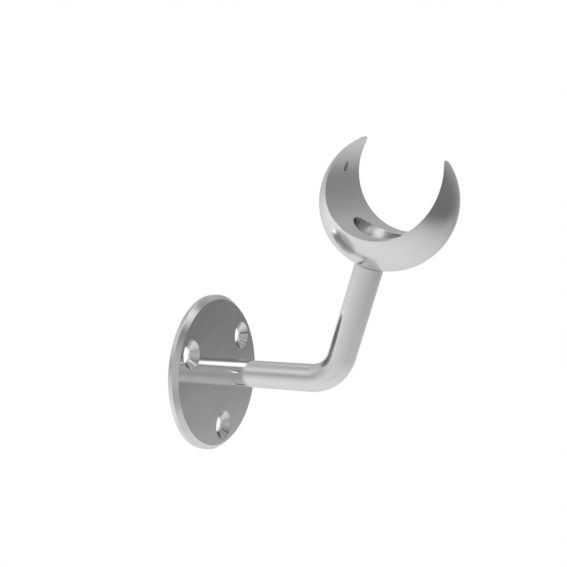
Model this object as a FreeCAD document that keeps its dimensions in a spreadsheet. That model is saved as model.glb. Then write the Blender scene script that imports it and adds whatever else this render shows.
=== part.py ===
import FreeCAD, Part
import math
import os
import Sketcher
from FreeCAD import Rotation, Vector

# Handrail bracket of stainless steel, fixed to a wall.
# Frame: the origin is the centre of the wall plate's back face, +X points away from the wall,
# +Y runs along the rail and +Z is up. Lengths are in millimetres and angles in degrees.

# Driving sizes
SIZES = {
    # Wall plate: a turned disc with a bevelled front edge and countersunk screw holes
    "plate_diameter": 70,
    "plate_thickness": 4,
    "plate_bevel": 2,
    "hole_circle_diameter": 50,
    "hole_count": 3,
    "hole_diameter": 6.6,
    "countersink_diameter": 12.6,
    "countersink_angle": 90,
    # Arm: a round bar, level at the wall and bent up to the ball
    "arm_diameter": 12,
    "arm_reach": 60.5,
    "arm_slant": 70,
    "bend_radius": 15.5,
    "seat_clearance": 0.05,
    # Saddle: a ball bored for the rail, with its axis in line with the slanted end of the arm
    "ball_diameter": 55,
    "ball_distance": 78.2,
    "rail_diameter": 42.4,
    "rail_clearance": 0.2,
    "rail_offset": 8.2,
    "tip_height": 21.8,
    "socket_depth": 1.5,
    "socket_clearance": 0.15,
    "recess_diameter": 22.6,
    "recess_depth": 4,
    "rail_screw_hole_diameter": 4,
    # Countersunk screw that clamps the saddle on the arm
    "screw_diameter": 6,
    "screw_length": 16,
    "screw_tip_bevel": 0.8,
    "screw_head_diameter": 12,
    "screw_key_flats": 4,
    "screw_key_depth": 2.2,
    "thread_depth": 14,
    "drill_point_angle": 118,
}

doc = FreeCAD.newDocument("handrail_bracket")
sheet = doc.addObject("Spreadsheet::Sheet", "Sizes")
for row, (alias, value) in enumerate(SIZES.items(), start=1):
    sheet.set(f"A{row}", alias)
    sheet.set(f"B{row}", str(value))
    sheet.setAlias(f"B{row}", alias)
doc.recompute()

# Rules that several pieces share, written on the cells of the sheet
TURN = "Sizes.arm_slant * 1 deg"
PLATE_HOLE_RADIUS = "Sizes.arm_diameter / 2 + Sizes.seat_clearance"
BORE_RADIUS = "Sizes.rail_diameter / 2 + Sizes.rail_clearance"
BALL_RADIUS = "Sizes.ball_diameter / 2"
BEND_TANGENT = f"Sizes.bend_radius * tan({TURN} / 2)"
SEAT_BELOW_BALL = f"({BALL_RADIUS} - Sizes.socket_depth)"
ARM_END = f"(Sizes.ball_distance - {SEAT_BELOW_BALL})"
DRILL_SLOPE = "tan(Sizes.drill_point_angle * 1 deg / 2)"
SINK_SLOPE = "tan(Sizes.countersink_angle * 1 deg / 2)"
WALL_BELOW_BALL = f"({BORE_RADIUS} - Sizes.rail_offset + Sizes.recess_depth)"
SINK_BELOW_BALL = (f"({WALL_BELOW_BALL} + (Sizes.recess_diameter - Sizes.countersink_diameter) / 2"
                   f" / {DRILL_SLOPE})")
HEAD_BELOW_BALL = (f"({SINK_BELOW_BALL} + (Sizes.countersink_diameter - Sizes.screw_head_diameter) / 2"
                   f" / {SINK_SLOPE})")


def worth(rule):
    """Give the number that a rule on the sheet's cells has now."""
    value = sheet.evalExpression(rule)
    return float(getattr(value, "Value", value))


def new_body(name, along_arm=None):
    """Start a body; along_arm is its distance up the slanted axis from the arm's corner."""
    body = doc.addObject("PartDesign::Body", name)
    body.Label = name
    if along_arm is not None:
        body.Placement.Rotation = Rotation(Vector(0, 1, 0), 90 - worth("Sizes.arm_slant"))
        body.setExpression("Placement.Rotation.Angle", f"90 deg - {TURN}")
        body.setExpression("Placement.Base.x", f"Sizes.arm_reach + {along_arm} * cos({TURN})")
        body.setExpression("Placement.Base.z", f"{along_arm} * sin({TURN})")
    return body


def origin_part(body, role):
    """Find a plane or an axis of a body's own origin."""
    return next(item for item in body.Origin.OriginFeatures if item.Role == role)


def new_sketch(body, name, plane, height=None):
    """Start a sketch on a plane of the body's origin, raised by the rule for its height."""
    sketch = body.newObject("Sketcher::SketchObject", name)
    sketch.AttachmentSupport = (origin_part(body, plane), "")
    sketch.MapMode = "FlatFace"
    if height is not None:
        sketch.setExpression("AttachmentOffset.Base.z", height)
    doc.recompute()
    return sketch


def bind(sketch, name, rule, kind, *where):
    """Add a constraint whose value follows a rule on the sheet."""
    value = math.radians(worth(rule)) if kind == "Angle" else worth(rule)
    index = sketch.addConstraint(Sketcher.Constraint(kind, *where, value))
    sketch.renameConstraint(index, name)
    sketch.setExpression("Constraints." + name, rule)


def place_point(sketch, edge, end, name, across=None, up=None):
    """Bind the place of an edge's end, measured from the sketch's own origin."""
    if across is not None:
        bind(sketch, name + "_across", across, "DistanceX", -1, 1, edge, end)
    if up is not None:
        bind(sketch, name + "_up", up, "DistanceY", -1, 1, edge, end)


def add_outline(sketch, points):
    """Draw a closed outline of straight lines and join its corners."""
    corners = [Vector(x, y, 0) for x, y in points]
    count = len(corners)
    for index, corner in enumerate(corners):
        sketch.addGeometry(Part.LineSegment(corner, corners[(index + 1) % count]))
    for index in range(count):
        sketch.addConstraint(Sketcher.Constraint("Coincident", index, 2, (index + 1) % count, 1))


def add_arc(sketch, centre, radius, first_angle, last_angle):
    """Draw an arc anticlockwise: end 1 is at its first angle and end 2 at its last."""
    circle = Part.Circle(centre, Vector(0, 0, 1), radius)
    return sketch.addGeometry(Part.ArcOfCircle(circle, first_angle, last_angle))


def square_up(sketch, level=(), upright=()):
    """Make edges of a sketch level or upright."""
    for edge in level:
        sketch.addConstraint(Sketcher.Constraint("Horizontal", edge))
    for edge in upright:
        sketch.addConstraint(Sketcher.Constraint("Vertical", edge))


def add_circle(sketch, name, radius):
    """Draw a circle about the sketch's origin."""
    edge = sketch.addGeometry(Part.Circle(Vector(0, 0, 0), Vector(0, 0, 1), worth(radius)))
    sketch.addConstraint(Sketcher.Constraint("Coincident", edge, 3, -1, 1))
    bind(sketch, name, radius, "Radius", edge)
    return edge


def turn_round(body, kind, name, sketch, axis):
    """Turn a sketch a full circle about one of its own axes."""
    feature = body.newObject(kind, name)
    feature.Profile = (sketch, [""])
    feature.ReferenceAxis = (sketch, [axis])
    feature.Angle = 360
    sketch.Visibility = False
    doc.recompute()
    return feature


def check_cut(before, feature):
    """Stop if a feature that should remove material has removed none."""
    if not feature.Shape.Volume < before - 1e-6:
        raise RuntimeError(f"{feature.Name} cuts nothing")


# Wall plate: a disc turned about X, with a hole that the arm's end fills
plate = new_body("wall_plate")
rim = "Sizes.plate_diameter / 2"
rim_face = "Sizes.plate_diameter / 2 - Sizes.plate_bevel"
rim_front = "Sizes.plate_thickness - Sizes.plate_bevel"
front = "Sizes.plate_thickness"
section = new_sketch(plate, "plate_section", "XZ_Plane")
add_outline(section, [
    (0, worth(PLATE_HOLE_RADIUS)),
    (worth(front), worth(PLATE_HOLE_RADIUS)),
    (worth(front), worth(rim_face)),
    (worth(rim_front), worth(rim)),
    (0, worth(rim)),
])
square_up(section, level=(0, 3), upright=(1, 4))
section.addConstraint(Sketcher.Constraint("PointOnObject", 4, 1, -2))
place_point(section, 0, 2, "hole_front", across=front, up=PLATE_HOLE_RADIUS)
place_point(section, 2, 1, "face_edge", up=rim_face)
place_point(section, 2, 2, "rim_edge", across=rim_front, up=rim)
disc = turn_round(plate, "PartDesign::Revolution", "plate_disc", section, "H_Axis")

# One countersunk hole straight below the centre, repeated round the plate
spot = new_sketch(plate, "screw_hole_spot", "YZ_Plane", height=front)
drop = "-Sizes.hole_circle_diameter / 2"
mark = spot.addGeometry(Part.Circle(Vector(0, worth(drop), 0), Vector(0, 0, 1),
                                    worth("Sizes.hole_diameter / 2")))
spot.addConstraint(Sketcher.Constraint("PointOnObject", mark, 3, -2))
place_point(spot, mark, 3, "spot", up=drop)
bind(spot, "spot_radius", "Sizes.hole_diameter / 2", "Radius", mark)
doc.recompute()
hole = plate.newObject("PartDesign::Hole", "screw_hole")
hole.Profile = (spot, [""])
hole.DepthType = "ThroughAll"
hole.DrillPoint = "Flat"
hole.HoleCutType = "Countersink"
hole.HoleCutCustomValues = True
hole.setExpression("Diameter", "Sizes.hole_diameter")
hole.setExpression("HoleCutDiameter", "Sizes.countersink_diameter")
hole.setExpression("HoleCutCountersinkAngle", "Sizes.countersink_angle")
doc.recompute()
check_cut(disc.Shape.Volume, hole)
ring = plate.newObject("PartDesign::PolarPattern", "screw_holes")
ring.Originals = [hole]
ring.Axis = (origin_part(plate, "X_Axis"), [""])
ring.Angle = 360
ring.setExpression("Occurrences", "Sizes.hole_count")
plate.Tip = ring
doc.recompute()
check_cut(hole.Shape.Volume, ring)

# Arm: a round bar swept along its centre line, in a frame whose Z is the slanted axis
arm = new_body("bent_arm", along_arm="0")
slant = math.radians(worth("Sizes.arm_slant"))
bend = worth("Sizes.bend_radius")
tangent = worth(BEND_TANGENT)
to_wall = Vector(-math.sin(slant), -math.cos(slant), 0)
path = new_sketch(arm, "centre_line", "XZ_Plane")
path.addGeometry(Part.LineSegment(Vector(0, worth(ARM_END), 0), Vector(0, tangent, 0)))
add_arc(path, Vector(-bend, tangent, 0), bend, -slant, 0)
path.addGeometry(Part.LineSegment(to_wall * tangent, to_wall * worth("Sizes.arm_reach")))
path.addConstraint(Sketcher.Constraint("Tangent", 0, 2, 1, 2))
path.addConstraint(Sketcher.Constraint("Tangent", 1, 1, 2, 1))
path.addConstraint(Sketcher.Constraint("PointOnObject", 0, 1, -2))
path.addConstraint(Sketcher.Constraint("PointOnObject", 0, 2, -2))
place_point(path, 0, 1, "top", up=ARM_END)
bind(path, "bend", "Sizes.bend_radius", "Radius", 1)
place_point(path, 0, 2, "bend_start", up=BEND_TANGENT)
place_point(path, 2, 2, "wall_end", across=f"-Sizes.arm_reach * sin({TURN})",
            up=f"-Sizes.arm_reach * cos({TURN})")
bar_section = new_sketch(arm, "bar_section", "XY_Plane", height=ARM_END)
add_circle(bar_section, "bar_radius", "Sizes.arm_diameter / 2")
doc.recompute()
bar = arm.newObject("PartDesign::AdditivePipe", "bent_bar")
bar.Profile = (bar_section, [""])
bar.Spine = (path, [""])
doc.recompute()

# A blind screw hole down the slanted end, with the cone that a drill leaves
thread_radius = "Sizes.screw_diameter / 2 + Sizes.seat_clearance"
thread_floor = f"{ARM_END} - Sizes.thread_depth"
drill_tip = f"{thread_floor} - ({thread_radius}) / {DRILL_SLOPE}"
drilling = new_sketch(arm, "drilling_section", "XZ_Plane")
add_outline(drilling, [
    (0, worth(ARM_END)),
    (0, worth(drill_tip)),
    (worth(thread_radius), worth(thread_floor)),
    (worth(thread_radius), worth(ARM_END)),
])
square_up(drilling, level=(3,), upright=(2,))
drilling.addConstraint(Sketcher.Constraint("PointOnObject", 0, 1, -2))
drilling.addConstraint(Sketcher.Constraint("PointOnObject", 0, 2, -2))
place_point(drilling, 0, 1, "mouth", up=ARM_END)
place_point(drilling, 0, 2, "point", up=drill_tip)
place_point(drilling, 2, 1, "floor", across=thread_radius, up=thread_floor)
thread_hole = turn_round(arm, "PartDesign::Groove", "thread_hole", drilling, "V_Axis")
check_cut(bar.Shape.Volume, thread_hole)

# Saddle: a ball whose poles lie on the rail's line, where the bore takes them away
saddle = new_body("rail_saddle", along_arm="Sizes.ball_distance")
ball = worth(BALL_RADIUS)
half_disc = new_sketch(saddle, "ball_section", "YZ_Plane")
add_arc(half_disc, Vector(0, 0, 0), ball, 0, math.pi)
half_disc.addGeometry(Part.LineSegment(Vector(-ball, 0, 0), Vector(ball, 0, 0)))
half_disc.addConstraint(Sketcher.Constraint("Coincident", 0, 2, 1, 1))
half_disc.addConstraint(Sketcher.Constraint("Coincident", 1, 2, 0, 1))
half_disc.addConstraint(Sketcher.Constraint("Coincident", 0, 3, -1, 1))
half_disc.addConstraint(Sketcher.Constraint("PointOnObject", 0, 1, -1))
half_disc.addConstraint(Sketcher.Constraint("PointOnObject", 0, 2, -1))
bind(half_disc, "ball_radius", BALL_RADIUS, "Radius", 0)
ball_blank = turn_round(saddle, "PartDesign::Revolution", "turned_ball", half_disc, "H_Axis")

# What lies about the slanted axis is turned in one cut: the socket for the arm, the screw's passage, a
# countersink like those of the wall plate, the cone that the recess's drill leaves, the recess's wall,
# and above it the flats that blunt the tips
socket_radius = "Sizes.arm_diameter / 2 + Sizes.socket_clearance"
passage_radius = "Sizes.hole_diameter / 2"
sink_radius = "Sizes.countersink_diameter / 2"
recess_radius = "Sizes.recess_diameter / 2"
seat = f"-{SEAT_BELOW_BALL}"
passage_top = (f"-({SINK_BELOW_BALL} + (Sizes.countersink_diameter - Sizes.hole_diameter) / 2"
               f" / {SINK_SLOPE})")
sink_top = f"-{SINK_BELOW_BALL}"
wall_foot = f"-{WALL_BELOW_BALL}"
tip = "Sizes.tip_height"
beyond = "Sizes.ball_diameter"
turned = new_sketch(saddle, "turned_section", "XZ_Plane")
add_outline(turned, [
    (0, -worth(beyond)),
    (worth(socket_radius), -worth(beyond)),
    (worth(socket_radius), worth(seat)),
    (worth(passage_radius), worth(seat)),
    (worth(passage_radius), worth(passage_top)),
    (worth(sink_radius), worth(sink_top)),
    (worth(recess_radius), worth(wall_foot)),
    (worth(recess_radius), worth(tip)),
    (worth(beyond), worth(tip)),
    (worth(beyond), worth(beyond)),
    (0, worth(beyond)),
])
square_up(turned, level=(0, 2, 7, 9), upright=(1, 3, 6, 8, 10))
turned.addConstraint(Sketcher.Constraint("PointOnObject", 0, 1, -2))
place_point(turned, 0, 1, "bottom", up=f"-{beyond}")
place_point(turned, 1, 2, "seat", across=socket_radius, up=seat)
place_point(turned, 3, 2, "passage", across=passage_radius, up=passage_top)
place_point(turned, 4, 2, "sink", across=sink_radius, up=sink_top)
place_point(turned, 5, 2, "wall", across=recess_radius, up=wall_foot)
place_point(turned, 7, 2, "tip", across=beyond, up=tip)
place_point(turned, 9, 2, "top", up=beyond)
turned_cut = turn_round(saddle, "PartDesign::Groove", "turned_cut", turned, "V_Axis")
check_cut(ball_blank.Shape.Volume, turned_cut)

# The rail's bore runs along Y and leaves two arms that end in blunt tips
bore_section = new_sketch(saddle, "rail_bore_section", "XZ_Plane")
bore_edge = bore_section.addGeometry(Part.Circle(Vector(0, worth("Sizes.rail_offset"), 0),
                                                 Vector(0, 0, 1), worth(BORE_RADIUS)))
bore_section.addConstraint(Sketcher.Constraint("PointOnObject", bore_edge, 3, -2))
place_point(bore_section, bore_edge, 3, "bore", up="Sizes.rail_offset")
bind(bore_section, "bore_radius", BORE_RADIUS, "Radius", bore_edge)
bore = saddle.newObject("PartDesign::Pocket", "rail_bore")
bore.Profile = (bore_section, [""])
bore.Midplane = True
bore.setExpression("Length", "Sizes.ball_diameter * 2")
doc.recompute()
check_cut(turned_cut.Shape.Volume, bore)

# The rail's own fixing screw goes through the wall side's arm, level with the rail's axis
side_section = new_sketch(saddle, "rail_screw_section", "YZ_Plane")
side_edge = side_section.addGeometry(Part.Circle(Vector(0, worth("Sizes.rail_offset"), 0),
                                                 Vector(0, 0, 1),
                                                 worth("Sizes.rail_screw_hole_diameter / 2")))
side_section.addConstraint(Sketcher.Constraint("PointOnObject", side_edge, 3, -2))
place_point(side_section, side_edge, 3, "side", up="Sizes.rail_offset")
bind(side_section, "side_radius", "Sizes.rail_screw_hole_diameter / 2", "Radius", side_edge)
side_hole = saddle.newObject("PartDesign::Pocket", "rail_screw_hole")
side_hole.Profile = (side_section, [""])
side_hole.setExpression("Length", "Sizes.ball_diameter")
doc.recompute()
check_cut(bore.Shape.Volume, side_hole)

# Screw: a countersunk head, flush in the recess's cone, and a plain shank down into the arm
screw = new_body("saddle_screw", along_arm=f"(Sizes.ball_distance - {HEAD_BELOW_BALL})")
screw_section = new_sketch(screw, "screw_section", "XZ_Plane")
head_radius = "Sizes.screw_head_diameter / 2"
shank_radius = "Sizes.screw_diameter / 2"
head_foot = f"-(Sizes.screw_head_diameter - Sizes.screw_diameter) / 2 / {SINK_SLOPE}"
shank_tip_radius = "Sizes.screw_diameter / 2 - Sizes.screw_tip_bevel"
shank_end = "-Sizes.screw_length"
shank_bevel = "Sizes.screw_tip_bevel - Sizes.screw_length"
add_outline(screw_section, [
    (0, 0),
    (0, worth(shank_end)),
    (worth(shank_tip_radius), worth(shank_end)),
    (worth(shank_radius), worth(shank_bevel)),
    (worth(shank_radius), worth(head_foot)),
    (worth(head_radius), 0),
])
square_up(screw_section, level=(1, 5), upright=(0, 3))
screw_section.addConstraint(Sketcher.Constraint("Coincident", 0, 1, -1, 1))
place_point(screw_section, 2, 1, "end", across=shank_tip_radius, up=shank_end)
place_point(screw_section, 2, 2, "bevel", across=shank_radius, up=shank_bevel)
place_point(screw_section, 3, 2, "foot", up=head_foot)
place_point(screw_section, 4, 2, "head", across=head_radius)
blank = turn_round(screw, "PartDesign::Revolution", "turned_screw", screw_section, "V_Axis")

# A hexagon socket in the head takes the key
key_section = new_sketch(screw, "key_section", "XY_Plane")
corner_radius = "Sizes.screw_key_flats / sqrt(3)"
add_outline(key_section, [
    (worth(corner_radius) * math.cos(math.radians(60 * step)),
     worth(corner_radius) * math.sin(math.radians(60 * step)))
    for step in range(6)
])
guide = add_circle(key_section, "corner_radius", corner_radius)
key_section.toggleConstruction(guide)
for edge in range(6):
    key_section.addConstraint(Sketcher.Constraint("PointOnObject", edge, 1, guide))
for edge in range(5):
    key_section.addConstraint(Sketcher.Constraint("Equal", edge, edge + 1))
key_section.addConstraint(Sketcher.Constraint("PointOnObject", 0, 1, -1))
key_socket = screw.newObject("PartDesign::Pocket", "key_socket")
key_socket.Profile = (key_section, [""])
key_socket.setExpression("Length", "Sizes.screw_key_depth")
doc.recompute()
check_cut(blank.Shape.Volume, key_socket)

# Nothing is written unless every object and every solid is sound
doc.recompute()
for item in doc.Objects:
    if "Invalid" in item.State or "Error" in item.State:
        raise RuntimeError(f"{item.Name} failed: {item.State}")
bodies = [plate, arm, saddle, screw]
for body in bodies:
    if body.Shape.isNull() or not body.Shape.isValid() or len(body.Shape.Solids) != 1:
        raise RuntimeError(f"{body.Label} is not one sound solid")

os.makedirs("parts", exist_ok=True)
for body in bodies:
    body.Shape.exportStep(f"parts/{body.Label}.step")
    box = body.Shape.BoundBox
    print(f"{body.Label}: {body.Shape.Volume:.1f} mm3, X {box.XMin:.2f} to {box.XMax:.2f}, "
          f"Y {box.YMin:.2f} to {box.YMax:.2f}, Z {box.ZMin:.2f} to {box.ZMax:.2f}")
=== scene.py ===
# %% [markdown]
# # A handrail bracket in polished stainless steel
# The bracket holds a round rail beside a wall. A countersunk wall plate carries a bent bar, and on
# the bar's upper end sits a ball that is bored out for the rail, so that two thin horns hold the tube.
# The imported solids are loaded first. They fix where each piece is and how large it may be, and the
# pieces made here stand in the same places with finer surfaces.

# %% Load the frame and keep its box
import math

import bmesh
import bpy
from mathutils import Matrix, Vector


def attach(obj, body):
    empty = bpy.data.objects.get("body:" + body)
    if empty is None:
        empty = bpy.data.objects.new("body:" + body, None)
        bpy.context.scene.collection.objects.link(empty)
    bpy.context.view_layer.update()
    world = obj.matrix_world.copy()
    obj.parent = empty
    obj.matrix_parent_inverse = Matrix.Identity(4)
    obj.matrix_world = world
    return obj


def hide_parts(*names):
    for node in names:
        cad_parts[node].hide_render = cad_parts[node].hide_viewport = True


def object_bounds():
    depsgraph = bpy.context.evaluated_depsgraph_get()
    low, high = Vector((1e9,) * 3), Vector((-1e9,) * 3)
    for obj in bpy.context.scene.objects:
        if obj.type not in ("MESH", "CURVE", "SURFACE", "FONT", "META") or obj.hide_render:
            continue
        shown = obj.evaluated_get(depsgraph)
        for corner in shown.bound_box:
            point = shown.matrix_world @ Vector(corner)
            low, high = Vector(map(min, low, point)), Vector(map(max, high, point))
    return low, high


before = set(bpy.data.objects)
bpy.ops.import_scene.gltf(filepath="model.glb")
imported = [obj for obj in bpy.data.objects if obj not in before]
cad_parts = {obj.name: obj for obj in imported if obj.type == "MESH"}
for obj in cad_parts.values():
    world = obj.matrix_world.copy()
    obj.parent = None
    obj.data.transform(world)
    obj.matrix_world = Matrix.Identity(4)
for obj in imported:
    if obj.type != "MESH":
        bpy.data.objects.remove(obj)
cad_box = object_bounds()
MM = 0.001
FULL_TURN = 2 * math.pi
QUARTER_TURN = math.pi / 2
# Points closer than this are one point, and a point this near to a surface lies on it.
MERGE_REACH = 1e-3 * MM
ON_SURFACE = 2e-4 * MM
X_AXIS, Y_AXIS, Z_AXIS = Vector((1, 0, 0)), Vector((0, 1, 0)), Vector((0, 0, 1))
WHITE = (1, 1, 1, 1)
print("CAD box in mm:", [[round(c / MM, 2) for c in corner] for corner in cad_box])

# %% [markdown]
# ## Camera
# A product picture is taken with a moderately long lens from a little above the object. The camera's
# place and its three directions are known here as numbers, so its matrix is written directly. Pointing
# it with a constraint would be simpler, but it would lose the small tilt of the picture.

# %% Place the camera
CAMERA_PLACE = Vector((184.355, -289.022, 81.211)) * MM
LOOKING = Vector((-0.446232, 0.886259, -0.124188))
PICTURE_RIGHT = Vector((0.894898, 0.442824, -0.055361))
LENS_MM = 48.36
SENSOR_MM = 36.0
NEAREST_SEEN, FARTHEST_SEEN = 0.01, 20.0

camera_data = bpy.data.cameras.new("camera")
camera_data.lens = LENS_MM
camera_data.sensor_width = SENSOR_MM
camera_data.clip_start = NEAREST_SEEN
camera_data.clip_end = FARTHEST_SEEN
camera = bpy.data.objects.new("camera", camera_data)
bpy.context.scene.collection.objects.link(camera)
back = -LOOKING.normalized()
right = (PICTURE_RIGHT - PICTURE_RIGHT.dot(back) * back).normalized()
up = back.cross(right)
camera.matrix_world = Matrix.Translation(CAMERA_PLACE) @ Matrix((right, up, back)).transposed().to_4x4()
bpy.context.scene.camera = camera
print("camera looks along", [round(c, 3) for c in -back])

# %% [markdown]
# ## Sums in the shader editor
# Both the light and the steel need formulas. Each sum could be drawn node by node, but a formula is
# easier to read as one. So a small class holds a socket: adding or multiplying it adds a Math node,
# and one method adds every other kind of node.


# %% A socket that can be used in sums
class Shade:
    """An output of a node tree. Sums and products with it add Math nodes."""

    def __init__(self, tree, socket=None):
        self.tree = tree
        self.socket = socket

    def node(self, kind, settings=None, inputs=None, out=0):
        """Add a node: first its settings, then a value or a link for each socket."""
        made = self.tree.nodes.new(kind)
        for name, value in (settings or {}).items():
            setattr(made, name, value)
        for name, value in (inputs or {}).items():
            if isinstance(value, Shade):
                self.tree.links.new(value.socket, made.inputs[name])
            else:
                made.inputs[name].default_value = value
        return Shade(self.tree, made.outputs[out]) if made.outputs else Shade(self.tree)

    def maths(self, operation, first, second):
        return self.node("ShaderNodeMath", {"operation": operation}, {0: first, 1: second})

    def __add__(self, other):
        return self.maths("ADD", self, other)

    def __radd__(self, other):
        return self.maths("ADD", other, self)

    def __sub__(self, other):
        return self.maths("SUBTRACT", self, other)

    def __rsub__(self, other):
        return self.maths("SUBTRACT", other, self)

    def __mul__(self, other):
        return self.maths("MULTIPLY", self, other)

    def __rmul__(self, other):
        return self.maths("MULTIPLY", other, self)


print("shader sums ready")

# %% [markdown]
# ## Studio light
# Polished steel has hardly any colour of its own: what is seen on it is the room. In a product studio
# that room is a pale floor, soft boxes that give it light, and grey or dark cards that give the metal
# its shadows. Lamps and cards could be placed one by one, but a mirror then shows their hard outlines.
# Here the world itself is the room: a shade that falls from the bright floor to the ceiling, and over
# it each card is painted as a field with soft sides. A later card hides what is behind it. The last one
# is a small bright lamp, which gives the ball the white point above its dark streak.

# %% List the room's cards
# A card whose upper edge lies beyond the zenith closes over the object.
OVERHEAD = 130
# For each card: the azimuth of its middle, its half width and the softness of its sides, then the
# heights of its lower and upper edges and their softness, all in degrees, and how bright it is.
ROOM_CARDS = {
    "grey card behind": (130, 41, 80, -18, 40, 21, 0.24),
    "dark card on the right": (93, 48, 80, -38, 31, 39, 0.21),
    "floor on the right": (70, 79, 80, -60, -39, 50, 0.69),
    "dim strip low on the right": (107, 31, 30, -20, -5, 10, 0.20),
    "pale strip behind": (154, 14, 20, -24, -18, 16, 0.54),
    "grey wall beside the camera": (38, 36, 38, -24, 43, 48, 0.54),
    "ceiling soft box": (98, 40, 29, 54, OVERHEAD, 23, 2.54),
    "pale wall on the left": (-97, 51, 80, -40, 12, 43, 1.05),
    "grey wall high on the left": (-129, 77, 53, 15, 72, 50, 0.64),
    "soft box high on the left": (-29, 37, 77, 31, 60, 42, 0.97),
    "front wall": (23, 33, 26, -5, 47, 50, 0.64),
    "grey card under the ceiling": (128, 27, 67, 42, 52, 15, 0.45),
    "light straight overhead": (92, 138, 20, 63, OVERHEAD, 28, 2.6),
    "lamp in the ceiling": (98, 26, 20, 61, 69, 6, 7.0),
}
FLOOR_LIGHT = 0.925
WALL_LIGHT = 0.312
ROOM_FALL_START = -0.739
ROOM_FALL_END = 0.712
print("room cards:", len(ROOM_CARDS))


# %% Paint the room round the object
def level_direction(azimuth):
    """Give the level unit vector to a side of the room; azimuth 0 is towards -Y and 90 towards +X."""
    around = math.radians(azimuth)
    return Vector((math.sin(around), -math.cos(around), 0))


def fade(shade, value, full, gone):
    """Give 1 up to one angle in degrees and fall softly to 0 at another."""
    return shade.node("ShaderNodeMapRange", {"interpolation_type": "SMOOTHSTEP"}, {
        "Value": value, "From Min": math.radians(full), "From Max": math.radians(gone),
        "To Min": 1.0, "To Max": 0.0})


world = bpy.data.worlds.new("studio")
world.use_nodes = True
world.node_tree.nodes.clear()
bpy.context.scene.world = world
room = Shade(world.node_tree)
gaze = room.node("ShaderNodeTexCoord", out="Generated")
level = room.node("ShaderNodeSeparateXYZ", inputs={0: gaze}, out="Z")
height = room.node("ShaderNodeMath", {"operation": "ARCSINE"}, {0: level})
ahead = room.node("ShaderNodeVectorMath", {"operation": "MULTIPLY"}, {0: gaze, 1: (1, 1, 0)})
ahead = room.node("ShaderNodeVectorMath", {"operation": "NORMALIZE"}, {0: ahead})
light = room.node("ShaderNodeMapRange", {"interpolation_type": "SMOOTHSTEP"}, {
    "Value": level, "From Min": ROOM_FALL_START, "From Max": ROOM_FALL_END,
    "To Min": FLOOR_LIGHT, "To Max": WALL_LIGHT})
for middle, half_width, side_soft, low, high, edge_soft, brightness in ROOM_CARDS.values():
    nearness = room.node("ShaderNodeVectorMath", {"operation": "DOT_PRODUCT"},
                         {0: ahead, 1: level_direction(middle)}, out="Value")
    aside = room.node("ShaderNodeMath", {"operation": "ARCCOSINE"}, {0: nearness})
    cover = fade(room, aside, half_width - side_soft / 2, half_width + side_soft / 2)
    cover = cover * fade(room, height, high - edge_soft / 2, high + edge_soft / 2)
    cover = cover * (1.0 - fade(room, height, low - edge_soft / 2, low + edge_soft / 2))
    light = light + cover * (brightness - light)
background = room.node("ShaderNodeBackground", inputs={"Color": WHITE, "Strength": light})
room.node("ShaderNodeOutputWorld", inputs={"Surface": background})
bpy.context.scene.view_settings.view_transform = "Standard"
print("room shader nodes:", len(world.node_tree.nodes))

# %% [markdown]
# ## Floor and backdrop
# A studio hides the line between floor and wall: the white paper runs on in a wide curve, so that the
# ground of the picture is white to its edges. A flat plane would be simpler, but it would end in a line
# behind the bracket. Here the curve goes all the way round: a section of floor, bend and wall is spun
# once. The sheet glows evenly, and the steel does not reflect it, because the room's own lower half
# already is the floor that the steel sees.

# %% Spin the floor and its curved wall
COVE_RADIUS = 8.0
COVE_HEIGHT = 8.0
COVE_BEND = 3.0
COVE_BEND_STEPS = 12
COVE_STEPS = 64
floor_level = cad_box[0].z
sheet = bmesh.new()
floor_section = [sheet.verts.new(point) for point in (
    (0, 0, floor_level), (COVE_RADIUS, 0, floor_level),
    (COVE_RADIUS, 0, floor_level + COVE_HEIGHT), (0, 0, floor_level + COVE_HEIGHT))]
for pair in zip(floor_section, floor_section[1:]):
    sheet.edges.new(pair)
bmesh.ops.bevel(sheet, geom=floor_section[1:3], offset=COVE_BEND, offset_type="OFFSET",
                segments=COVE_BEND_STEPS, profile=0.5, affect="VERTICES", material=-1)
bmesh.ops.spin(sheet, geom=sheet.verts[:] + sheet.edges[:], cent=(0, 0, 0), axis=(0, 0, 1),
               dvec=(0, 0, 0), angle=FULL_TURN, steps=COVE_STEPS, use_merge=True)
bmesh.ops.remove_doubles(sheet, verts=sheet.verts[:], dist=MERGE_REACH)
floor_mesh = bpy.data.meshes.new("studio_floor")
sheet.to_mesh(floor_mesh)
sheet.free()
floor = bpy.data.objects.new("studio_floor", floor_mesh)
bpy.context.scene.collection.objects.link(floor)
paper = bpy.data.materials.new("white_paper")
paper.use_nodes = True
paper.node_tree.nodes.clear()
white = Shade(paper.node_tree)
glow = white.node("ShaderNodeEmission", inputs={"Color": WHITE, "Strength": 1.0})
white.node("ShaderNodeOutputMaterial", inputs={"Surface": glow})
floor_mesh.materials.append(paper)
floor.visible_glossy = False
floor.visible_diffuse = False
floor.visible_shadow = False
print("floor at", round(floor_level / MM, 2), "mm")

# %% [markdown]
# ## Surfaces with exact normals
# On a mirror every facet shows. More faces would help, but it is the direction in which each corner of
# a face shades that makes a polished surface look right. The bracket's surfaces are simple: planes,
# cylinders, cones, a ball and a ring. So each is described once by how far a point is from it and
# which way it faces there, and after a mesh is built its corners take those directions.


# %% Describe planes, cylinders, cones, balls and rings
def plane(point, facing):
    point, facing = Vector(point), Vector(facing).normalized()
    return lambda p: (p - point).dot(facing), lambda p: facing


def ball(centre, radius):
    centre = Vector(centre)
    return lambda p: (p - centre).length - radius, lambda p: (p - centre).normalized()


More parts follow.
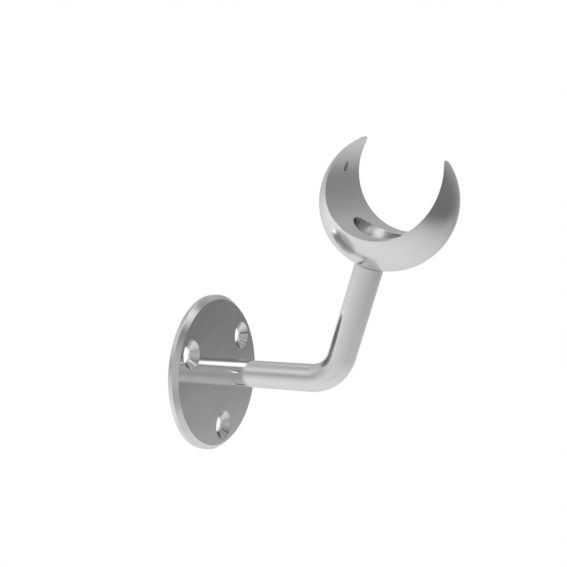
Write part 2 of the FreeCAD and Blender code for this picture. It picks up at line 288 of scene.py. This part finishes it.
def cone(point, axis, radius, slope=0.0):
    """A cylinder about an axis through a point, or a cone whose radius grows by slope along it."""
    point, axis = Vector(point), Vector(axis).normalized()

    def parts(p):
        along = (p - point).dot(axis)
        return along, (p - point) - along * axis

    def gap(p):
        along, across = parts(p)
        return across.length - radius - slope * along

    def facing(p):
        return (parts(p)[1].normalized() - slope * axis).normalized()
    return gap, facing


def ring(centre, axis, big, small):
    """The outside of a bar that is bent round an axis."""
    centre, axis = Vector(centre), Vector(axis).normalized()

    def spine(p):
        across = (p - centre) - (p - centre).dot(axis) * axis
        return centre + across.normalized() * big
    return lambda p: (p - spine(p)).length - small, lambda p: (p - spine(p)).normalized()


def true_normals(mesh, surfaces):
    """Turn each face's corners to the surface that the face lies on."""
    corners = [[index for index, (gap, _) in enumerate(surfaces) if abs(gap(v.co)) < ON_SURFACE]
               for v in mesh.vertices]
    mesh.shade_smooth()
    normals = [None] * len(mesh.loops)
    for face in mesh.polygons:
        shared = set.intersection(*(set(corners[v]) for v in face.vertices))
        for loop, vertex in zip(face.loop_indices, face.vertices):
            place = mesh.vertices[vertex].co
            choices = [surfaces[i][1](place) for i in (shared or corners[vertex])]
            if choices:
                best = max(choices, key=lambda n: abs(n.dot(face.normal)))
                normals[loop] = best if best.dot(face.normal) > 0 else -best
            else:
                normals[loop] = mesh.vertices[vertex].normal.copy()
    mesh.normals_split_custom_set(normals)


print("surfaces described")

# %% [markdown]
# ## Turning a section
# Most of the bracket's forms were turned on a lathe, and the same move makes their meshes: an open
# chain of points, the section, is spun round an axis. Ready cylinders and cones could be joined up
# instead, but each joint would need a cut. Real corners are never knife sharp, so the chain's inner
# points are first rounded with a vertex bevel, which leaves a narrow arc that catches the light.

# %% Helpers for sections and pieces
ROUNDING_STEPS = 3


def chain(bm, points, closed=False, rounding=0.0):
    """Join points into a chain of edges and round the corners between them."""
    verts = [bm.verts.new(p) for p in points]
    edges = [bm.edges.new(pair) for pair in zip(verts, verts[1:])]
    if closed:
        edges.append(bm.edges.new((verts[-1], verts[0])))
    if rounding:
        made = bmesh.ops.bevel(bm, geom=verts[1:-1], offset=rounding, offset_type="OFFSET",
                               segments=ROUNDING_STEPS, profile=0.5, affect="VERTICES", material=-1)
        verts = [verts[0], verts[-1]] + made["verts"]
        edges = list({edge for v in verts if v.is_valid for edge in v.link_edges})
    return [v for v in verts if v.is_valid], edges


def turn(bm, verts, edges, centre, axis, steps):
    """Spin a chain a full turn round an axis."""
    bmesh.ops.spin(bm, geom=verts + edges, cent=centre, axis=axis, dvec=(0, 0, 0),
                   angle=FULL_TURN, steps=steps, use_merge=True)


def ring_grid(bm, count, steps, closed=False):
    """Spin a plain chain round Z and number its rings, so that each can slide into place later."""
    ring_of = bm.verts.layers.int.new("ring")
    verts, edges = chain(bm, [Vector((1 + step, 0, step)) * MM for step in range(count)], closed)
    for index, vert in enumerate(verts):
        vert[ring_of] = index
    turn(bm, verts, edges, (0, 0, 0), Z_AXIS, steps)
    return ring_of


def closed_mesh(bm, name):
    """Merge a mesh's seams, turn its faces outwards and count the edges left open."""
    bmesh.ops.remove_doubles(bm, verts=bm.verts[:], dist=MERGE_REACH)
    bmesh.ops.recalc_face_normals(bm, faces=bm.faces[:])
    open_edges = sum(1 for edge in bm.edges if len(edge.link_faces) != 2)
    mesh = bpy.data.meshes.new(name)
    bm.to_mesh(mesh)
    bm.free()
    print(name, "faces:", len(mesh.polygons), "open edges:", open_edges)
    return mesh


def finish_piece(mesh, node, surfaces, place=Matrix()):
    """Shade and place a mesh, and let it stand for its CAD node."""
    true_normals(mesh, surfaces)
    mesh.transform(place)
    piece = bpy.data.objects.new(mesh.name, mesh)
    bpy.context.scene.collection.objects.link(piece)
    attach(piece, "root")
    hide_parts(node)
    print(mesh.name, "stands for", node, "with", len(surfaces), "exact surfaces")
    return piece


print("section helpers ready")

# %% [markdown]
# ## Wall plate
# The plate is a disc of 4 mm steel, turned with a bevelled front edge and drilled for three
# countersunk screws. The holes could be cut out of a disc with Boolean modifiers, but then their edges
# would be hard to round. So the bands round the edge and inside the holes are spun, each with its own
# rounding, and the flat front and back between them are filled in one step, which knows an inner
# outline as a hole.

# %% Turn the plate's bands and fill its faces
PLATE_RADIUS = 35 * MM
PLATE_THICKNESS = 4 * MM
PLATE_BEVEL = 2 * MM
# The seat is drawn closer round the bar than the solid's 12.1 mm, so that no gap shows at the joint.
SEAT_RADIUS = 6.005 * MM
HOLE_CIRCLE_RADIUS = 25 * MM
HOLE_RADIUS = 3.3 * MM
SINK_RADIUS = 6.3 * MM
SINK_DEPTH = SINK_RADIUS - HOLE_RADIUS
HOLE_ANGLES = (-90, 30, 150)
EDGE_ROUNDING = 0.12 * MM
OUTER_ROUNDING = 0.05 * MM
FLAT_RUN = 2 * EDGE_ROUNDING
PLATE_STEPS, SEAT_STEPS, HOLE_STEPS = 256, 128, 96

plate = bmesh.new()
outer_band = [(PLATE_THICKNESS, PLATE_RADIUS - PLATE_BEVEL - FLAT_RUN),
              (PLATE_THICKNESS, PLATE_RADIUS - PLATE_BEVEL),
              (PLATE_THICKNESS - PLATE_BEVEL, PLATE_RADIUS),
              (0, PLATE_RADIUS), (0, PLATE_RADIUS - FLAT_RUN)]
seat_band = [(PLATE_THICKNESS, SEAT_RADIUS + FLAT_RUN), (PLATE_THICKNESS, SEAT_RADIUS),
             (0, SEAT_RADIUS), (0, SEAT_RADIUS + FLAT_RUN)]
hole_band = [(PLATE_THICKNESS, SINK_RADIUS + FLAT_RUN), (PLATE_THICKNESS, SINK_RADIUS),
             (PLATE_THICKNESS - SINK_DEPTH, HOLE_RADIUS),
             (0, HOLE_RADIUS), (0, HOLE_RADIUS + FLAT_RUN)]
hole_centres = [Vector((0, HOLE_CIRCLE_RADIUS * math.cos(math.radians(a)),
                        HOLE_CIRCLE_RADIUS * math.sin(math.radians(a)))) for a in HOLE_ANGLES]
bands = [(outer_band, Vector(), PLATE_STEPS, OUTER_ROUNDING), (seat_band, Vector(), SEAT_STEPS, 0.0)]
bands += [(hole_band, centre, HOLE_STEPS, EDGE_ROUNDING) for centre in hole_centres]
for band, centre, steps, rounding in bands:
    section = [centre + Vector((x, 0, r)) for x, r in band]
    verts, edges = chain(plate, section, rounding=rounding)
    turn(plate, verts, edges, centre, X_AXIS, steps)
rims = [edge for edge in plate.edges if edge.is_boundary]
for height in (0, PLATE_THICKNESS):
    flat = [edge for edge in rims if all(abs(v.co.x - height) < MERGE_REACH for v in edge.verts)]
    bmesh.ops.triangle_fill(plate, edges=flat, use_beauty=True, normal=X_AXIS)
print("plate rims filled:", len(rims))

# %% Finish the plate
plate_surfaces = [plane((0, 0, 0), X_AXIS), plane((PLATE_THICKNESS, 0, 0), X_AXIS),
                  cone((0, 0, 0), X_AXIS, PLATE_RADIUS), cone((0, 0, 0), X_AXIS, SEAT_RADIUS),
                  cone((PLATE_THICKNESS - PLATE_BEVEL, 0, 0), X_AXIS, PLATE_RADIUS, -1.0)]
for centre in hole_centres:
    plate_surfaces += [cone(centre, X_AXIS, HOLE_RADIUS),
                       cone(centre + Vector((PLATE_THICKNESS, 0, 0)), X_AXIS, SINK_RADIUS, 1.0)]
wall_plate = finish_piece(closed_mesh(plate, "polished_wall_plate"), "wall_plate",
                          plate_surfaces)

# %% [markdown]
# ## Bent arm
# The arm is a 12 mm bar: level at the wall, bent once, and then rising at 70 degrees to the ball. On
# the real bracket it is one bar bent cold round a former. Its mesh is drawn the same way: a circle is
# pushed out along the level run, swung round the bend's centre, and pushed on along the slant. A curve
# with a round section would do for that, but not for the bar's ends. Just under the ball the bar has a
# fine groove, and shade painted on the bar's end from there up makes it show as a dark line. Its upper
# end is drilled and threaded for the screw that holds the ball.

# %% Name the arm's sizes
BAR_RADIUS = 6 * MM
ARM_REACH = 60.5 * MM
SLANT = math.radians(70)
BEND_RADIUS = 15.5 * MM
BEND_TANGENT = BEND_RADIUS * math.tan(SLANT / 2)
BALL_DISTANCE = 78.2 * MM
BALL_RADIUS = 27.5 * MM
SOCKET_DEPTH = 1.5 * MM
SOCKET_RADIUS = 6.15 * MM
SOCKET_MOUTH = math.sqrt(BALL_RADIUS ** 2 - SOCKET_RADIUS ** 2)
ARM_END = BALL_DISTANCE - (BALL_RADIUS - SOCKET_DEPTH)
GROOVE_WIDTH = 0.3 * MM
GROOVE_DEPTH = 0.15 * MM
GROOVE_START = BALL_DISTANCE - SOCKET_MOUTH - GROOVE_WIDTH
ARM_HOLE_RADIUS = 3.05 * MM
ARM_HOLE_DEPTH = 14 * MM
DRILL_SLOPE = math.tan(math.radians(59))
DRILL_POINT = ARM_HOLE_RADIUS / DRILL_SLOPE
BAR_SIDES = 128
LEVEL_STEPS, BEND_STEPS, SLANT_STEPS = 24, 48, 24
RISE = Vector((math.cos(SLANT), 0, math.sin(SLANT)))
LEAN = Matrix.Rotation(QUARTER_TURN - SLANT, 4, "Y")
CORNER = Vector((ARM_REACH, 0, 0))
print("the bar ends", round(ARM_END / MM, 2), "mm up the slant")


# %% Push a circle along the bar's centre line
def push(bm, edges, move):
    """Extrude a ring of edges and move what is new; gives the new ring."""
    new = bmesh.ops.extrude_edge_only(bm, edges=edges)["geom"]
    new_verts = [item for item in new if isinstance(item, bmesh.types.BMVert)]
    bmesh.ops.transform(bm, matrix=move, verts=new_verts)
    in_ring = set(new_verts).issuperset
    return [item for item in new if isinstance(item, bmesh.types.BMEdge) and in_ring(item.verts)]


def about(centre, matrix):
    """Apply a turn or a scale about a centre."""
    return Matrix.Translation(centre) @ matrix @ Matrix.Translation(-centre)


bar = bmesh.new()
bmesh.ops.create_circle(bar, cap_ends=False, segments=BAR_SIDES, radius=BAR_RADIUS,
                        matrix=Matrix.Rotation(QUARTER_TURN, 4, "Y"))
start_ring = bar.edges[:]
bend_start = ARM_REACH - BEND_TANGENT
loop = start_ring
for _ in range(LEVEL_STEPS):
    loop = push(bar, loop, Matrix.Translation((bend_start / LEVEL_STEPS, 0, 0)))
bend_centre = Vector((bend_start, 0, BEND_RADIUS))
swing = about(bend_centre, Matrix.Rotation(-SLANT / BEND_STEPS, 4, "Y"))
for _ in range(BEND_STEPS):
    loop = push(bar, loop, swing)
slant_run = (GROOVE_START - BEND_TANGENT) / SLANT_STEPS
for _ in range(SLANT_STEPS):
    loop = push(bar, loop, Matrix.Translation(RISE * slant_run))
half_groove = Matrix.Translation(RISE * GROOVE_WIDTH / 2)
narrowing = (BAR_RADIUS - GROOVE_DEPTH) / BAR_RADIUS
groove_edge = CORNER + RISE * GROOVE_START
groove_floor = groove_edge + RISE * GROOVE_WIDTH / 2
loop = push(bar, loop, half_groove @ about(groove_edge, Matrix.Scale(narrowing, 4)))
loop = push(bar, loop, half_groove @ about(groove_floor, Matrix.Scale(1 / narrowing, 4)))
loop = push(bar, loop, Matrix.Translation(RISE * (ARM_END - GROOVE_START - GROOVE_WIDTH)))
print("bar rings:", len(bar.verts) // BAR_SIDES)

# %% Drill the upper end and close the lower one
BAR_END_ROUNDING = 0.2 * MM
# The drill's point ends in a tiny ring of this share, which one face closes.
TIP_SHARE = 0.001
arm_top = CORNER + RISE * ARM_END
rounded = loop + start_ring
mouth = push(bar, loop, about(arm_top, Matrix.Scale(ARM_HOLE_RADIUS / BAR_RADIUS, 4)))
hole_floor = push(bar, mouth, Matrix.Translation(-RISE * ARM_HOLE_DEPTH))
floor_centre = arm_top - RISE * ARM_HOLE_DEPTH
point_move = (Matrix.Translation(-RISE * DRILL_POINT * (1 - TIP_SHARE))
              @ about(floor_centre, Matrix.Scale(TIP_SHARE, 4)))
drill_point = push(bar, hole_floor, point_move)
bmesh.ops.contextual_create(bar, geom=drill_point)
bmesh.ops.contextual_create(bar, geom=start_ring)
bmesh.ops.bevel(bar, geom=rounded, offset=BAR_END_ROUNDING, offset_type="OFFSET",
                segments=ROUNDING_STEPS, profile=0.5, affect="EDGES", material=-1)
arm_surfaces = [plane((0, 0, 0), X_AXIS), cone((0, 0, 0), X_AXIS, BAR_RADIUS),
                ring(bend_centre, Y_AXIS, BEND_RADIUS, BAR_RADIUS), cone(CORNER, RISE, BAR_RADIUS),
                plane(arm_top, RISE), cone(CORNER, RISE, ARM_HOLE_RADIUS),
                cone(floor_centre, RISE, ARM_HOLE_RADIUS, DRILL_SLOPE)]
bent_arm = finish_piece(closed_mesh(bar, "polished_bent_arm"), "bent_arm", arm_surfaces)

# %% [markdown]
# ## Ball saddle
# The saddle starts as a 55 mm ball. The rail's bore takes most of it away and leaves a crescent with
# two thin horns. At the bottom of the bore a wide drill has left a recess with a conical floor, which
# ends in a countersunk hole for the screw, and a socket under the ball fits over the bar. One could cut
# a fine ball with Boolean modifiers, but the cuts leave ragged faces along their edges. Instead one
# section is spun round the ball's own axis, as a grid of rings, and then every ring slides to where it
# belongs: onto the bore, the ball or the recess. Only the small side hole is cut afterwards.

# %% Name the saddle's sizes and its edge
BORE_RADIUS = 21.4 * MM
RAIL_OFFSET = 8.2 * MM
RECESS_RADIUS = 11.3 * MM
RECESS_DEPTH = 4 * MM
SIDE_HOLE_RADIUS = 2 * MM
RIM_ROUNDING = 0.11 * MM
SEAT_HEIGHT = -(BALL_RADIUS - SOCKET_DEPTH)
WALL_FOOT = RAIL_OFFSET - BORE_RADIUS - RECESS_DEPTH
SINK_TOP = WALL_FOOT - (RECESS_RADIUS - SINK_RADIUS) / DRILL_SLOPE
PASSAGE_TOP = SINK_TOP - SINK_DEPTH
SPOKES = 256
BORE_RINGS, RIM_RINGS, BALL_RINGS = 64, 4, 96
RECESS_ROUNDING_STEPS = 2
BALL_CENTRE = CORNER + RISE * BALL_DISTANCE
saddle_place = Matrix.Translation(BALL_CENTRE) @ LEAN
# The centre of the rim's rounding runs this far from the bore's axis and from the ball's centre.
RIM_FROM_AXIS = BORE_RADIUS + RIM_ROUNDING
RIM_FROM_CENTRE = BALL_RADIUS - RIM_ROUNDING
HORN_ANGLE = math.acos((RAIL_OFFSET ** 2 + RIM_FROM_AXIS ** 2 - RIM_FROM_CENTRE ** 2)
                       / (2 * RAIL_OFFSET * RIM_FROM_AXIS))


def about_bore(radius, turned, along):
    """Give a point by its distance from the rail's axis, its angle from the lowest line and its Y."""
    return Vector((radius * math.sin(turned), along, RAIL_OFFSET - radius * math.cos(turned)))


def rim_place(azimuth):
    """Give the angle and the Y where the rim's rounding runs, seen at this azimuth."""
    turned = HORN_ANGLE * math.cos(azimuth)
    squared = RIM_FROM_CENTRE ** 2 - about_bore(RIM_FROM_AXIS, turned, 0).length_squared
    return turned, math.copysign(math.sqrt(max(squared, 0.0)), math.sin(azimuth))


print("horns end at", round(math.degrees(HORN_ANGLE), 2), "degrees from the bore's lowest line")

# %% Spin the grid and slide its rings into place
def saddle_point(part, share, azimuth):
    """Give the place of a grid point, by its ring and its azimuth about the ball's axis."""
    around = Vector((math.cos(azimuth), math.sin(azimuth), 0))
    turned, along = rim_place(azimuth)
    if part == "bore":
        first_turned = math.asin(RECESS_RADIUS * around.x / BORE_RADIUS)
        first_along = RECESS_RADIUS * around.y
        return about_bore(BORE_RADIUS, first_turned + (turned - first_turned) * share,
                          first_along + (along - first_along) * share)
    if part in ("rim", "ball"):
        middle = about_bore(RIM_FROM_AXIS, turned, along)
        outwards = middle.normalized()
        if part == "rim":
            inwards = (about_bore(BORE_RADIUS, turned, along) - middle).normalized()
            return middle + inwards.slerp(outwards, share) * RIM_ROUNDING
        bottom = around * SOCKET_RADIUS + Vector((0, 0, -SOCKET_MOUTH))
        return outwards.slerp(bottom.normalized(), share) * BALL_RADIUS
    radius, height = part
    return around * radius + Vector((0, 0, height))


rings = [((HOLE_RADIUS, SEAT_HEIGHT), 0), ((HOLE_RADIUS, PASSAGE_TOP), 0), ((SINK_RADIUS, SINK_TOP), 0),
         ((RECESS_RADIUS, WALL_FOOT), 0)]
corner_rings = set(range(len(rings) + 1))
rings += [("bore", step / BORE_RINGS) for step in range(BORE_RINGS + 1)]
rings += [("rim", step / RIM_RINGS) for step in range(1, RIM_RINGS)]
rings += [("ball", step / BALL_RINGS) for step in range(BALL_RINGS + 1)]
rings += [((SOCKET_RADIUS, SEAT_HEIGHT), 0)]
corner_rings |= {len(rings) - 2, len(rings) - 1}
saddle = bmesh.new()
ring_of = ring_grid(saddle, len(rings), SPOKES, closed=True)
for vert in saddle.verts:
    part, share = rings[vert[ring_of]]
    vert.co = saddle_point(part, share, math.atan2(vert.co.y, vert.co.x))
print("grid points:", len(saddle.verts))

# %% Round the recess, the passage and the socket
saddle_edges = [edge for edge in saddle.edges if edge.verts[0][ring_of] in corner_rings
                and edge.verts[0][ring_of] == edge.verts[1][ring_of]]
bmesh.ops.recalc_face_normals(saddle, faces=saddle.faces[:])
bmesh.ops.bevel(saddle, geom=saddle_edges, offset=EDGE_ROUNDING, offset_type="OFFSET",
                segments=RECESS_ROUNDING_STEPS, profile=0.5, affect="EDGES", clamp_overlap=True,
                material=-1)
saddle_mesh = closed_mesh(saddle, "polished_rail_saddle")

# %% [markdown]
# ## Side hole of the saddle
# A small screw comes through the horn on the wall's side and holds the rail. Its hole runs across the
# grid, so no ring can follow its edge, and a grid bent round it would spoil the ball. The hole is so
# small that a Boolean modifier may cut it: a cylinder is taken away as a drill would do it, and the
# exact normals hide the ragged faces round it.

# %% Drill the rail's own screw hole
SIDE_HOLE_STEPS = 64
drill = bmesh.new()
bmesh.ops.create_cone(drill, cap_ends=True, segments=SIDE_HOLE_STEPS, radius1=SIDE_HOLE_RADIUS,
                      radius2=SIDE_HOLE_RADIUS, depth=BALL_RADIUS,
                      matrix=Matrix.Translation((-BALL_RADIUS, 0, RAIL_OFFSET))
                      @ Matrix.Rotation(QUARTER_TURN, 4, "Y"))
drill_mesh = bpy.data.meshes.new("drill")
drill.to_mesh(drill_mesh)
drill.free()


def cut(mesh, tool_mesh):
    """Take a tool's shape out of a mesh with a Boolean modifier and keep the result."""
    work, tool = (bpy.data.objects.new(m.name, m) for m in (mesh, tool_mesh))
    for item in (work, tool):
        bpy.context.scene.collection.objects.link(item)
    modifier = work.modifiers.new("cut", "BOOLEAN")
    modifier.operation = "DIFFERENCE"
    modifier.solver = "EXACT"
    modifier.object = tool
    shown = work.evaluated_get(bpy.context.evaluated_depsgraph_get())
    result = bpy.data.meshes.new_from_object(shown)
    name = mesh.name
    for item in (work, tool):
        bpy.data.meshes.remove(item.data)
    result.name = name
    return result


saddle_mesh = cut(saddle_mesh, drill_mesh)
print("saddle faces after drilling:", len(saddle_mesh.polygons))

# %% Finish the saddle
saddle_surfaces = [ball((0, 0, 0), BALL_RADIUS), cone((0, 0, RAIL_OFFSET), Y_AXIS, BORE_RADIUS),
                   cone((0, 0, 0), Z_AXIS, RECESS_RADIUS),
                   cone((0, 0, WALL_FOOT), Z_AXIS, RECESS_RADIUS, DRILL_SLOPE),
                   cone((0, 0, SINK_TOP), Z_AXIS, SINK_RADIUS, 1.0),
                   cone((0, 0, 0), Z_AXIS, HOLE_RADIUS), plane((0, 0, SEAT_HEIGHT), Z_AXIS),
                   cone((0, 0, 0), Z_AXIS, SOCKET_RADIUS),
                   cone((0, 0, RAIL_OFFSET), X_AXIS, SIDE_HOLE_RADIUS)]
rail_saddle = finish_piece(saddle_mesh, "rail_saddle", saddle_surfaces, saddle_place)

# %% [markdown]
# ## Screw in the saddle
# A countersunk screw with a hexagon socket clamps the ball on the bar. Its flat head lies flush in the
# bottom of the recess. The key socket could be cut out of the head, but the screw is spun as rings too,
# so the two rings of the socket are simply pulled in to a hexagon.

# %% Spin the screw
SCREW_RADIUS = 3 * MM
SCREW_LENGTH = 16 * MM
SCREW_TIP_BEVEL = 0.8 * MM
HEAD_RADIUS = 6 * MM
KEY_FLAT = 2 * MM
KEY_DEPTH = 2.2 * MM
SCREW_STEPS = 96
SIXTH_TURN = math.pi / 3
FIRST_FLAT = SIXTH_TURN / 2


def hexagon(azimuth):
    """Give the distance from the axis to a side of the key socket."""
    from_flat = (azimuth - FIRST_FLAT) % SIXTH_TURN
    return KEY_FLAT / math.cos(min(from_flat, SIXTH_TURN - from_flat))


screw_rings = [(0, -KEY_DEPTH), ("key", -KEY_DEPTH), ("key", 0), (HEAD_RADIUS, 0),
               (SCREW_RADIUS, SCREW_RADIUS - HEAD_RADIUS), (SCREW_RADIUS, SCREW_TIP_BEVEL - SCREW_LENGTH),
               (SCREW_RADIUS - SCREW_TIP_BEVEL, -SCREW_LENGTH), (0, -SCREW_LENGTH)]
screw = bmesh.new()
ring_of = ring_grid(screw, len(screw_rings), SCREW_STEPS)
for vert in screw.verts:
    radius, height = screw_rings[vert[ring_of]]
    azimuth = math.atan2(vert.co.y, vert.co.x)
    if radius == "key":
        radius = hexagon(azimuth)
    vert.co = Vector((radius * math.cos(azimuth), radius * math.sin(azimuth), height))
print("screw points:", len(screw.verts))

# %% Finish the screw
screw_surfaces = [plane((0, 0, height), Z_AXIS) for height in (0, -KEY_DEPTH, -SCREW_LENGTH)]
screw_surfaces += [cone((0, 0, 0), Z_AXIS, HEAD_RADIUS, 1.0), cone((0, 0, 0), Z_AXIS, SCREW_RADIUS),
                   cone((0, 0, SCREW_TIP_BEVEL - SCREW_LENGTH), Z_AXIS, SCREW_RADIUS, 1.0)]
for side in range(6):
    facing = FIRST_FLAT + side * SIXTH_TURN
    outwards = Vector((math.cos(facing), math.sin(facing), 0))
    screw_surfaces.append(plane(outwards * KEY_FLAT, outwards))
head_top = SINK_TOP - (SINK_RADIUS - HEAD_RADIUS)
screw_place = Matrix.Translation(BALL_CENTRE + RISE * head_top) @ LEAN
saddle_screw = finish_piece(closed_mesh(screw, "countersunk_saddle_screw"), "saddle_screw",
                            screw_surfaces, screw_place)

# %% [markdown]
# ## Steel
# Polished steel is a metal with a pale neutral reflection, a little paler at a glancing angle. How
# sharp its reflections are depends on the polish: the plate is nearly a mirror, the bar is a little
# duller, and the ball is duller still. One could paint the light and dark on the metal, but painted
# light turns with the bracket, and a reflection doesn't, so the room makes them here, except in two
# crevices. Each piece gets faint cloudy streaks that the polishing wheel left, and finer marks in its
# roughness. In the thread of the side hole and in the groove round the bar's end, shade is painted
# into the steel as a darker grey, and the steel there is also duller.

# %% Name the steel's greys and marks
STEEL_GREY = 0.71
STEEL_EDGE = 0.84
# The darker grey that paints shade into the two crevices, in place of the steel's own grey.
CREVICE_SHADE_GREY = 0.30
CREVICE_ROUGHNESS = 0.5
STREAK_SIZE = 7 * MM
STREAK_STRETCH = 8.0
STREAK_DETAIL = 2.0
MARK_SIZE = 0.5 * MM
MARK_DETAIL = 3.0
NOISE_ROUGHNESS = 0.6
NOISE_LOW, NOISE_HIGH = 0.25, 0.75
ROUGH_BASE, ROUGH_MARKS, ROUGH_STREAKS = 0.75, 0.3, 0.2
SIDE_THREAD_PITCH = 0.7 * MM
SIDE_THREAD_HEIGHT = SIDE_THREAD_PITCH / 8
SIDE_THREAD_SHADE = 0.35
# Steel within these distances of a hole's axis belongs to the hole.
SIDE_THREAD_REACH = SIDE_HOLE_RADIUS * 1.02
ARM_HOLE_REACH = ARM_HOLE_RADIUS * 1.1
print("the steel's grey is", STEEL_GREY, "and", STEEL_EDGE, "at its edges")


# %% Mix the steel
def steel(name, roughness, streak_turn, streak_depth, crevice=None):
    """Polished steel; streak_turn leans its streaks, and crevice marks where shade is painted darker into
    it and where it is dull.
    """
    made = bpy.data.materials.new(name)
    made.use_nodes = True
    made.node_tree.nodes.clear()
    shade = Shade(made.node_tree)
    place = shade.node("ShaderNodeTexCoord", out="Object")
    turned = shade.node("ShaderNodeMapping", {"vector_type": "TEXTURE"}, {
        "Vector": place, "Rotation": streak_turn, "Scale": (1.0, STREAK_STRETCH, 1.0)})
    streaks = shade.node("ShaderNodeTexNoise", inputs={
        "Vector": turned, "Scale": 1 / STREAK_SIZE, "Detail": STREAK_DETAIL,
        "Roughness": NOISE_ROUGHNESS}, out="Fac")
    marks = shade.node("ShaderNodeTexNoise", inputs={
        "Vector": turned, "Scale": 1 / MARK_SIZE, "Detail": MARK_DETAIL,
        "Roughness": NOISE_ROUGHNESS}, out="Fac")
    paler = shade.node("ShaderNodeMapRange", inputs={
        "Value": streaks, "From Min": NOISE_LOW, "From Max": NOISE_HIGH,
        "To Min": STEEL_GREY - streak_depth, "To Max": STEEL_GREY + streak_depth})
    rough = roughness * (ROUGH_BASE + ROUGH_MARKS * marks + ROUGH_STREAKS * streaks)
    relief = {}
    if crevice:
        inside, ridges = crevice(shade, place)
        # Painted shade: the crevice's share pulls the grey towards a darker one, and the same share makes
        # the steel rougher.
        paler = paler + inside * (CREVICE_SHADE_GREY - paler)
        rough = rough + inside * (CREVICE_ROUGHNESS - rough)
        if ridges is not None:
            relief["Normal"] = shade.node("ShaderNodeBump", inputs={
                "Height": ridges, "Distance": SIDE_THREAD_HEIGHT})
    colour = shade.node("ShaderNodeCombineColor", inputs={0: paler, 1: paler, 2: paler})
    metal = shade.node("ShaderNodeBsdfPrincipled", inputs={
        "Base Color": colour, "Metallic": 1.0, "Roughness": rough,
        "Specular Tint": (STEEL_EDGE, STEEL_EDGE, STEEL_EDGE, 1), **relief})
    shade.node("ShaderNodeOutputMaterial", inputs={"Surface": metal})
    return made


print("steel recipe ready")


# %% Mark the painted shade in the two crevices
def from_axis(shade, place, point, axis):
    """Give how far along an axis a place is, and how far away from it."""
    offset = shade.node("ShaderNodeVectorMath", {"operation": "SUBTRACT"}, {0: place, 1: point})
    along = shade.node("ShaderNodeVectorMath", {"operation": "DOT_PRODUCT"}, {0: offset, 1: axis},
                       out="Value")
    across = shade.node("ShaderNodeVectorMath", {"operation": "CROSS_PRODUCT"}, {0: offset, 1: axis})
    away = shade.node("ShaderNodeVectorMath", {"operation": "LENGTH"}, {0: across}, out="Value")
    return along, away


def side_thread_shade_and_ridges(shade, place):
    """Mark painted shade in the thread of the side hole, only on the wall's side of the ball, and the
    thread's ridges.
    """
    hole_axis = saddle_place.to_3x3() @ X_AXIS
    hole_place = saddle_place @ Vector((0, 0, RAIL_OFFSET))
    along, away = from_axis(shade, place, hole_place, hole_axis)
    inside = shade.maths("LESS_THAN", away, SIDE_THREAD_REACH)
    # The thread gets this share of the painted shade, and its ridges follow the same share.
    inside = SIDE_THREAD_SHADE * inside * shade.maths("LESS_THAN", along, 0.0)
    return inside, inside * shade.maths("PINGPONG", along * (1 / SIDE_THREAD_PITCH), 0.5)


def end_groove_shade(shade, place):
    """Mark painted shade on the bar from the groove where it enters the ball up to its end; it has no
    ridges.
    """
    along, away = from_axis(shade, place, CORNER, RISE)
    # Painted shade covers the bar from the groove to its end, outside the drilled hole.
    inside = shade.maths("GREATER_THAN", along, GROOVE_START)
    return inside * shade.maths("GREATER_THAN", away, ARM_HOLE_REACH), None


print("crevices marked in mm: thread", round(SIDE_THREAD_REACH / MM, 2), "round its axis, groove from",
      round(GROOVE_START / MM, 2), "up the slant")

# %% Put the steel on the pieces
PLATE_ROUGHNESS, BAR_ROUGHNESS, BALL_ROUGHNESS = 0.05, 0.11, 0.2
CLOUDY, EVEN = 0.05, 0.01
LEANING = (math.radians(19), 0, 0)
UPRIGHT = (0, 0, 0)
finishes = ((wall_plate, PLATE_ROUGHNESS, LEANING, CLOUDY, None),
            (bent_arm, BAR_ROUGHNESS, UPRIGHT, EVEN, end_groove_shade),
            (rail_saddle, BALL_ROUGHNESS, UPRIGHT, EVEN, side_thread_shade_and_ridges),
            (saddle_screw, BALL_ROUGHNESS, UPRIGHT, EVEN, None))
for piece, *finish in finishes:
    piece.data.materials.clear()
    piece.data.materials.append(steel(piece.name + "_steel", *finish))
print("steel on", len(finishes), "pieces")
